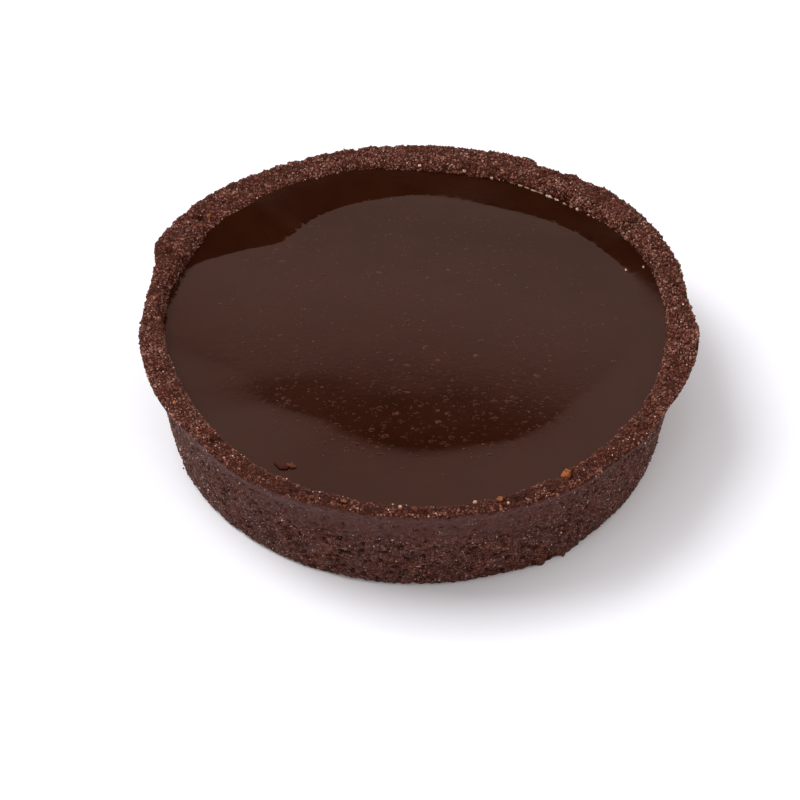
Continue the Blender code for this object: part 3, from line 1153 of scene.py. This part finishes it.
turns = np.arange(FILLING_COLUMNS) * math.tau / FILLING_COLUMNS
walls = smooth_round(np.array([reach_of(crust_top, turn, EDGE_LEVEL) for turn in turns]), WALL_REACH)
ring_angles, ring_distances = np.array(LOWEST_RING).T
lowest = np.interp(np.degrees(turns), ring_angles, ring_distances * MM, period=360)
even_moats = np.minimum(smooth_round(lowest, RING_REACH), walls - NARROWEST_CLIMB)
even_moats = smooth_round(even_moats, MOAT_REACH) - JAGS_INSIDE
even_widths = smooth_round(walls - even_moats, WIDTH_REACH)
moats = np.minimum(even_moats + [jag(turn) for turn in turns], walls - 0.5 * NARROWEST_CLIMB)
on_right = np.cos(turns) > 0
towards_back = np.where(
    on_right, smooth_step(np.sin(turns), 0.02, 0.46), smooth_step(np.sin(turns), -0.35, 0.25),
)
sideways = np.maximum(np.sin(turns), np.where(on_right, 0.50, 0.85))
steeper = sum(more * hump(np.degrees(turns), middle, half) for middle, half, more in STEEPER)


def slope_of(front, back, more):
    """The slope of the climb at each angle. At the sides it is steeper than behind."""
    return np.tan(np.radians(front + (back / sideways + more - front) * towards_back))


first_slope = slope_of(FRONT_SLOPES[0], BACK_SLOPES[0], steeper)  # at the moat
last_slope = slope_of(FRONT_SLOPES[1], BACK_SLOPES[1], 0)  # at the crust
rounding = MOAT_ROUNDING[0] + (MOAT_ROUNDING[1] - MOAT_ROUNDING[0]) * towards_back
for middle, half, more in SOFT_CLIMBS:
    rounding = rounding + more * MM * hump(np.degrees(turns), middle, half)
dome_fall = 2 * DOME_RISE * even_moats / MOAT_RADIUS ** 2


def climb_level(reach):
    """Height of the climb at a distance outside the lowest ring, before the turn is rounded."""
    away = (reach - even_moats) / even_widths
    return dome_level(even_moats) + even_widths * away * (first_slope + (last_slope - first_slope) * away / 2)


print("the lowest ring is", round(even_moats.min() / MM, 1), "to", round(even_moats.max() / MM, 1), "mm out")

# %% [markdown]
# The skin has slight waves as well, and two low swells and one place where it falls towards the front. The
# swells are a few hundredths of a millimetre high and the fall is two tenths, and only the shine shows them.

# %% Waves of the skin
# Low swells: the place, the length and the width across, and the height, in mm.
SWELLS = (
    (-17.0, -10.3, 9.0, 3.0, 0.035),
    (-2.0, -14.5, 6.5, 3.0, 0.030),
)
FALL = (-35.0, -12.5, 8.0, 6.0, 0.20)  # where the skin falls towards the front, given in the same way


def ripple(point):
    """The slight waves of the skin."""
    level = 0.012 * MM * noise.noise(point / (8 * MM)) + 0.0020 * MM * noise.noise(point / (1.5 * MM))
    for x, y, length, width, height in SWELLS:
        away = ((point.x / MM - x) / length) ** 2 + ((point.y / MM - y) / width) ** 2
        level += height * MM * math.exp(-away)
    x, y, length, width, height = FALL
    across = math.tanh((point.y / MM - y) / width)
    return level + height / 2 * MM * across * math.exp(-((point.x / MM - x) / length) ** 2)


print("the highest swell is", max(height for *_, height in SWELLS), "mm high")

# %% [markdown]
# Now the rings of points can be set out: first over the dome, then over the climb, where they lie closer
# together near the lowest ring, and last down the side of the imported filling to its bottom.

# %% Rings of the filling
filling_rings = []
for share in np.linspace(0, 1, DOME_RINGS + 1)[1:]:
    filling_rings.append((moats * share, dome_level(moats * share)))
step = dome_level(moats) - climb_level(moats)
for share in np.linspace(0, 1, EDGE_RINGS + 1)[1:] ** 1.6:
    reach = moats + (walls + INTO_CRUST - moats) * share
    turned = np.exp(-(reach - moats) / rounding)
    rounded = step * turned - (first_slope + dome_fall) * rounding * (1 - turned)
    filling_rings.append((reach, climb_level(reach) + rounded))
edge_level = filling_rings[-1][1]
print("edge of the filling:", round(edge_level.min() / MM, 2), "to", round(edge_level.max() / MM, 2), "mm up")

# Levels of the rings down the side of the filling, and of its bottom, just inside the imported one.
UNDER_LEVELS = (14.0 * MM, 11.0 * MM, 8.0 * MM, 5.5 * MM, 4.6 * MM)
BOTTOM_LEVEL = 4.31 * MM
filling_tree = surface_tree(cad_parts["ganache_filling"])
for level in UNDER_LEVELS:
    reach = np.array([reach_of(filling_tree, turn, level) for turn in turns])
    filling_rings.append((reach, np.full(FILLING_COLUMNS, level)))

# %% [markdown]
# The rings are joined like those of the case, with one point at the top of the dome and one in the middle
# of the bottom. The UV places are the view from above, with the side laid round it as a narrow band.

# %% A closed mesh from the rings
def filling_mesh():
    """Points, faces and UV places of the closed filling."""
    points, uv_points = [], []
    top_rings = DOME_RINGS + EDGE_RINGS
    for index, (reach, level) in enumerate(filling_rings):
        x = DOME_MIDDLE.x + reach * np.cos(turns)
        y = DOME_MIDDLE.y + reach * np.sin(turns)
        if index < top_rings:
            level = level + np.array([ripple(Vector((a, b, 0))) for a, b in zip(x, y)])
            beyond = np.maximum(np.abs(x) - SIDE_FALL_FROM, 0)
            level = level + (SIDE_FALL * beyond ** 2 - TWIST * x) * (y - DOME_MIDDLE.y)
        points.append(np.stack([x, y, level], -1))
        spread = 0.42 * min(1, (index + 1) / top_rings) + 0.012 * max(0, index + 1 - top_rings)
        uv_points.append(np.stack([0.5 + spread * np.cos(turns), 0.5 + spread * np.sin(turns)], -1))
    ends = [[*DOME_MIDDLE.xy, MOAT_LEVEL + DOME_RISE], [*DOME_MIDDLE.xy, BOTTOM_LEVEL]]
    points = np.concatenate(points + [ends])
    uv_points = np.concatenate(uv_points + [[[0.5, 0.5], [0.5, 0.5]]])
    top, bottom = len(points) - 2, len(points) - 1
    faces = []
    last = (len(filling_rings) - 1) * FILLING_COLUMNS
    for here in range(FILLING_COLUMNS):
        there = (here + 1) % FILLING_COLUMNS
        faces.append((top, here, there))
        for ring in range(len(filling_rings) - 1):
            inner, outer = ring * FILLING_COLUMNS, (ring + 1) * FILLING_COLUMNS
            faces.append((inner + here, outer + here, outer + there, inner + there))
        faces.append((bottom, last + there, last + here))
    uv = np.concatenate([uv_points[list(face)] for face in faces])
    return points, faces, uv


filling_points, filling_faces, filling_uv = filling_mesh()
print("the ganache has", 2 * len(filling_faces), "triangles at most")

# %% [markdown]
# Dark ganache is nearly black in itself, and what is seen of it is mostly the room. So its finish needs
# little: a very dark warm brown with faint clouds, low roughness, and a bump finer than the mesh can carry.
# The tint of the reflections stands for the thin skin of cocoa butter, which makes them warmer than the
# room is.

# %% The ganache
ganache_material, ganache_tree, ganache_shader = new_material("set_ganache")
ganache_place = add_node(ganache_tree, "ShaderNodeTexCoord").outputs["Object"]
ganache_clouds = varied(ganache_tree, ganache_place, 180, 5.0, 0.6)
ganache_colour = add_ramp(
    ganache_tree,
    [(0.35, (0.0170, 0.0040, 0.0015)), (0.65, (0.0212, 0.0051, 0.0020))],
    ganache_clouds,
)
link(ganache_tree, ganache_colour, ganache_shader.inputs["Base Color"])
ganache_shader.inputs["Roughness"].default_value = 0.10
ganache_shader.inputs["IOR"].default_value = 1.40
ganache_shader.inputs["Specular Tint"].default_value = (1.0, 0.56, 0.455, 1)
add_bump(ganache_tree, ganache_shader, varied(ganache_tree, ganache_place, 1200, 4.0, 0.6), 0.012 * MM, 1.0)

ganache = build_object("ganache", filling_points, filling_faces, ganache_material, uv=filling_uv)
ganache.data.set_sharp_from_angle(angle=math.radians(40))  # its edge against the crust stays sharp
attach(ganache, "root")
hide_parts("ganache_filling")
print("the ganache reaches", round(ganache.dimensions.z / MM, 2), "mm from bottom to top")

# %% [markdown]
# ## Bubbles
#
# Stirring leaves small bubbles in ganache. They rise while it sets and stop just under the skin, where each
# lifts it into a low dome, and the thinner skin over some of them looks lighter. The domes stand up only a
# few hundredths of a millimetre. Their sides slope enough to mirror another part of the room, though, which
# makes them show. Each is a low lens that follows the slope of the ganache under it, with its edge sunk in.

# %% The shape of a bubble
BUBBLE_SIDES = 9
LENS_RINGS = (1.25, 0.85, 0.45)  # the first is sunk, as the lens meets the skin at 1


def lens_mesh():
    """Corners and faces of a lens of radius 1 and height 1, closed underneath."""
    around = np.arange(BUBBLE_SIDES) * math.tau / BUBBLE_SIDES
    circle = np.stack([np.cos(around), np.sin(around)], -1)
    rings = [np.column_stack([circle * size, np.full(BUBBLE_SIDES, 1 - size ** 2)]) for size in LENS_RINGS]
    corners = np.concatenate([*rings, [[0, 0, 1], [0, 0, -1.5]]])
    top, bottom = len(corners) - 2, len(corners) - 1
    innermost = (len(LENS_RINGS) - 1) * BUBBLE_SIDES
    faces = []
    for side in range(BUBBLE_SIDES):
        following = (side + 1) % BUBBLE_SIDES
        for ring in range(0, innermost, BUBBLE_SIDES):
            a, b = ring + side, ring + following
            faces += [(a, b, b + BUBBLE_SIDES), (a, b + BUBBLE_SIDES, a + BUBBLE_SIDES)]
        faces += [(innermost + side, innermost + following, top), (side, bottom, following)]
    return corners, np.array(faces)


lens_corners, lens_faces = lens_mesh()
print("a bubble has", len(lens_faces), "triangles")

# %% [markdown]
# Tiny bubbles lie nearly everywhere, and the larger ones mostly in front. A place drawn at random is kept as
# often as the swarm is thick there, until there are enough.

# %% Places of the bubbles
SPECKS = 1450  # tiny ones
BLISTERS = 400  # larger ones, most of them towards the front
BUBBLES = SPECKS + BLISTERS
SWARM_RADIUS = 32 * MM
FRONT_SWARM = (20 * MM, -19 * MM, 7 * MM)  # the thickest one: its half length, its place and its half width
ABOVE_ALL = Vector((0, 0, 30 * MM))  # rays start this far above the table
DOWN = Vector((0, 0, -1))

ganache_top = surface_tree(ganache)


def swarm(point, blisters):
    """How thick the bubbles are at a place on the ganache, from 0 to 1."""
    from_middle = point.length / (31 * MM)
    gathered = smooth_step(noise.noise(point / (6 * MM) + Vector((3, 1, 0))), -0.25, 0.45)
    half_length, place, half_width = FRONT_SWARM
    front = math.exp(-((point.x / half_length) ** 2 + ((point.y - place) / half_width) ** 2))
    share = 0.08 + 0.12 * gathered + 0.8 * front if blisters else 0.2 + 0.6 * gathered + 0.2 * front
    return share * (1 - smooth_step(from_middle, 0.75, 1.0))


places, slopes = [], []
while len(places) < BUBBLES:
    spot = Vector((*chance.uniform(-SWARM_RADIUS, SWARM_RADIUS, 2), 0))
    if spot.length < SWARM_RADIUS and chance.uniform() < swarm(spot, len(places) >= SPECKS):
        place, normal, _, _ = ganache_top.ray_cast(spot + ABOVE_ALL, DOWN)
        places.append(place)
        slopes.append((-normal.x / normal.z, -normal.y / normal.z))
print("bubbles:", len(places))

# %% [markdown]
# Each bubble gets a size, a tone and a height of its own, an uneven outline, and the tilt of the skin under
# it. The random numbers are drawn for all of them at once, which is quick and comes out the same each time.

# %% Shapes of the bubbles
radii = np.concatenate([
    0.06 * MM + 0.09 * MM * chance.uniform(size=SPECKS) ** 2,
    0.13 * MM + 0.21 * MM * chance.uniform(size=BLISTERS) ** 2,
])
tones = np.concatenate([0.3 + 0.7 * chance.uniform(size=SPECKS), chance.uniform(size=BLISTERS) ** 2])
lifts = radii * chance.uniform(0.02, 0.055, BUBBLES)
shapes = lens_corners[None] * np.stack([radii, radii, lifts], -1)[:, None]
stretches = np.stack([chance.uniform(0.9, 1.8, BUBBLES), chance.uniform(0.7, 1.2, BUBBLES)], -1)
shapes[..., :2] *= stretches[:, None]
outline = chance.uniform(0.7, 1.2, (BUBBLES, BUBBLE_SIDES))
outline = np.concatenate([np.tile(outline, len(LENS_RINGS)), np.ones((BUBBLES, 2))], axis=1)
shapes[..., :2] *= outline[..., None]
shapes[..., 2] += np.einsum("nkj,nj->nk", shapes[..., :2], np.array(slopes))
shapes = shapes + np.array(places)[:, None]
bubble_faces = lens_faces[None] + (np.arange(BUBBLES) * len(lens_corners))[:, None, None]
print("the largest bubble is", round(2 * radii.max() / MM, 2), "mm wide before it is stretched")

# %% [markdown]
# The skin over a bubble is ganache too, only thinner and so a little lighter, in clouds. It could share the
# material of the ganache, but then the palest bubbles, which the eye looks for, would be lost.

# %% The bubbles
bubble_material, bubble_tree, bubble_shader = new_material("bubble_skin")
skin_light = add_ramp(
    bubble_tree,
    [(0.15, (0.026, 0.0068, 0.0028)), (0.60, (0.050, 0.0165, 0.0090)), (1.0, (0.088, 0.038, 0.024))],
    share_of(bubble_tree, "tone"),
)
bubble_clouds = varied(bubble_tree, add_node(bubble_tree, "ShaderNodeTexCoord").outputs["Object"], 2500)
clouded = add_ramp(bubble_tree, [(0.35, grey(0.0)), (0.65, grey(1.0))], bubble_clouds)
bubble_colour = mix_colours(bubble_tree, clouded, (0.022, 0.0050, 0.0020), skin_light)
link(bubble_tree, bubble_colour, bubble_shader.inputs["Base Color"])
bubble_shader.inputs["Roughness"].default_value = 0.14
bubble_shader.inputs["IOR"].default_value = 1.40
bubble_shader.inputs["Specular Tint"].default_value = (1.0, 0.56, 0.455, 1)
bubbles = build_object(
    "ganache_bubbles", shapes.reshape(-1, 3), bubble_faces.reshape(-1, 3).tolist(), bubble_material,
    shares={"tone": np.repeat(tones, len(lens_corners))},
)
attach(bubbles, "root")
print("bubbles:", BUBBLES, "with", len(bubble_faces) * len(lens_faces), "triangles")

# %% [markdown]
# ## Crumbs
#
# Trimming the rim and turning the tart out of its tin leave a few crumbs: bits of crust on the filling and
# on the rim, some of them toasted to amber, and a line of pale ones along the rim's inner edge behind, which
# is partly pale crumbs and partly a painted highlight, standing for the glint of light along that edge. They
# are too few and too plain to see to be left to chance, so they are listed one by one. Each is a ball of
# eighty triangles, pulled out of shape by noise.

# %% The crumbs one by one
# The angle, the distance from the middle, the length, the width and the height, all in mm, and the tone: 0 is
# dark crust, 0.5 amber and 1 pale sugar.
CRUMBS = (
    (236.4, 33.5, 2.6, 1.3, 0.45, 0.06),
    (238.2, 32.9, 1.3, 0.9, 0.45, 0.26),
    (302.5, 37.9, 1.6, 1.2, 1.5, 0.52),
    (304.5, 37.2, 0.9, 0.8, 0.9, 0.20),
    (287.2, 38.0, 0.8, 0.7, 0.8, 0.55),
    (269.6, 38.6, 0.9, 0.7, 0.8, 0.32),
    (266.5, 38.2, 0.6, 0.5, 0.6, 0.95),
    (281.9, 38.1, 0.6, 0.5, 0.6, 0.90),
    (288.6, 38.9, 0.6, 0.5, 0.6, 0.85),
    (255.0, 38.3, 0.8, 0.6, 0.6, 0.48),
    (173.0, 38.0, 0.6, 0.5, 0.6, 0.60),
    (170.5, 37.2, 0.5, 0.4, 0.5, 0.50),
    (207.0, 38.0, 0.7, 0.5, 0.6, 0.55),
    (143.5, 38.0, 0.9, 0.5, 0.6, 0.55),
    (147.0, 37.6, 0.5, 0.5, 0.5, 0.45),
    # Pale crumbs along the rim's inner edge behind, down to 22 degrees: partly crumbs, partly a painted
    # highlight.
    (89.0, 35.3, 0.6, 0.4, 0.5, 0.95),
    (78.0, 35.2, 0.6, 0.4, 0.5, 0.90),
    (71.0, 35.2, 0.5, 0.4, 0.5, 0.95),
    (66.0, 35.4, 0.6, 0.2, 0.3, 0.75),
    (63.8, 35.4, 0.8, 0.3, 0.3, 0.85),
    (62.0, 35.4, 1.0, 0.2, 0.3, 0.78),
    (60.0, 35.4, 1.3, 0.3, 0.3, 0.85),
    (58.2, 35.5, 0.9, 0.2, 0.3, 0.80),
    (55.9, 35.5, 1.2, 0.4, 0.4, 1.00),
    (53.8, 35.6, 0.8, 0.3, 0.3, 0.85),
    (51.4, 35.6, 0.7, 0.3, 0.3, 0.75),
    (49.6, 35.7, 0.5, 0.3, 0.3, 0.85),
    (47.8, 35.8, 0.6, 0.4, 0.4, 0.95),
    (44.5, 36.0, 0.5, 0.3, 0.4, 0.80),
    (23.8, 33.6, 0.4, 0.3, 0.3, 0.95),
    (22.4, 36.0, 0.4, 0.3, 0.4, 0.95),
    (308.5, 36.5, 0.7, 0.5, 0.4, 0.45),
    (306.6, 36.9, 0.4, 0.3, 0.3, 0.50),
    (311.0, 36.4, 0.5, 0.3, 0.3, 0.40),
    (297.0, 36.4, 0.5, 0.4, 0.4, 0.38),
    (262.0, 36.6, 0.4, 0.3, 0.3, 0.30),
    (226.0, 36.5, 0.5, 0.4, 0.3, 0.35),
    (110.0, 36.6, 0.6, 0.4, 0.4, 0.40),
    (30.0, 36.7, 0.5, 0.4, 0.4, 0.35),
)
CRUMB_SUNK = 0.25  # the share of a crumb's height that is below the surface it lies on
ball_shape = bmesh.new()
bmesh.ops.create_icosphere(ball_shape, subdivisions=2, radius=0.5)
crumb_corners = np.array([vertex.co for vertex in ball_shape.verts])
crumb_faces = np.array([[vertex.index for vertex in face.verts] for face in ball_shape.faces])
ball_shape.free()
print("crumbs:", len(CRUMBS), "with", len(CRUMBS) * len(crumb_faces), "triangles")

# %% [markdown]
# A crumb lies along the rim, so its length goes round the tart and its width towards the middle. A ray from
# above finds what it lies on, crust or ganache, and it is set down there with its underside sunk in.

# %% Setting the crumbs down
def crumb_shape(number, outwards, length, width, height):
    """The corners of a crumb about its middle, its size being in mm."""
    shift = Vector((7 * number, 0, 0))
    lumps = [1 + 0.55 * noise.noise(Vector(corner) * 3.4 + shift) for corner in crumb_corners]
    corners = crumb_corners * np.array(lumps)[:, None]
    along = np.array((-outwards.y, outwards.x, 0))
    shape = corners[:, :1] * along * length + corners[:, 1:2] * np.array(outwards) * width
    return (shape + corners[:, 2:] * (0, 0, height)) * MM


crumb_points, crumb_tones = [], []
for index, (angle, distance, length, width, height, tone) in enumerate(CRUMBS):
    outwards = level_ray(math.radians(angle))
    above = outwards * distance * MM + ABOVE_ALL
    hits = [tree.ray_cast(above, DOWN)[0] for tree in (crust_top, ganache_top)]
    ground = max(hit.z for hit in hits if hit)
    lift = height * MM * (0.5 - CRUMB_SUNK)
    middle = np.array(outwards * distance * MM + Vector((0, 0, ground + lift)))
    points = crumb_shape(index, outwards, length, width, height) + middle
    crumb_points.append(points)
    crumb_tones += [tone] * len(points)
print("the highest crumb reaches", round(max(points[:, 2].max() for points in crumb_points) / MM, 1), "mm up")

# %% [markdown]
# One finish serves them all: a ramp leads from dark crust through amber to pale sugar, and each crumb has
# its place on it by its tone.

# %% The crumbs
crumb_material, crumb_tree, crumb_shader = new_material("toasted_crumb")
crumb_place = add_node(crumb_tree, "ShaderNodeTexCoord").outputs["Object"]
crumb_tone = add_ramp(
    crumb_tree,
    [(0.0, (0.028, 0.0060, 0.0030)), (0.32, (0.150, 0.045, 0.028)), (0.52, (0.360, 0.120, 0.042)),
     (0.80, (0.420, 0.230, 0.150)), (1.0, (0.640, 0.480, 0.400))],
    share_of(crumb_tree, "tone"),
)
crumb_shade = varied(crumb_tree, crumb_place, 2200)
crumb_shade = add_ramp(crumb_tree, [(0.38, grey(0.75)), (0.56, grey(0.0))], crumb_shade)
crumb_colour = mix_colours(crumb_tree, crumb_shade, crumb_tone, (0.045, 0.010, 0.005))
link(crumb_tree, crumb_colour, crumb_shader.inputs["Base Color"])
crumb_shader.inputs["Roughness"].default_value = 0.55
crumb_shader.inputs["Specular IOR Level"].default_value = 0.06
add_bump(crumb_tree, crumb_shader, varied(crumb_tree, crumb_place, 3200, 4.0, 0.7), 0.10 * MM, 1.0)
crumbs = build_object(
    "crumbs", np.concatenate(crumb_points),
    np.concatenate([crumb_faces + index * len(crumb_corners) for index in range(len(CRUMBS))]).tolist(),
    crumb_material, shares={"tone": crumb_tones},
)
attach(crumbs, "root")
print("crumbs in one mesh:", len(crumbs.data.polygons), "faces")
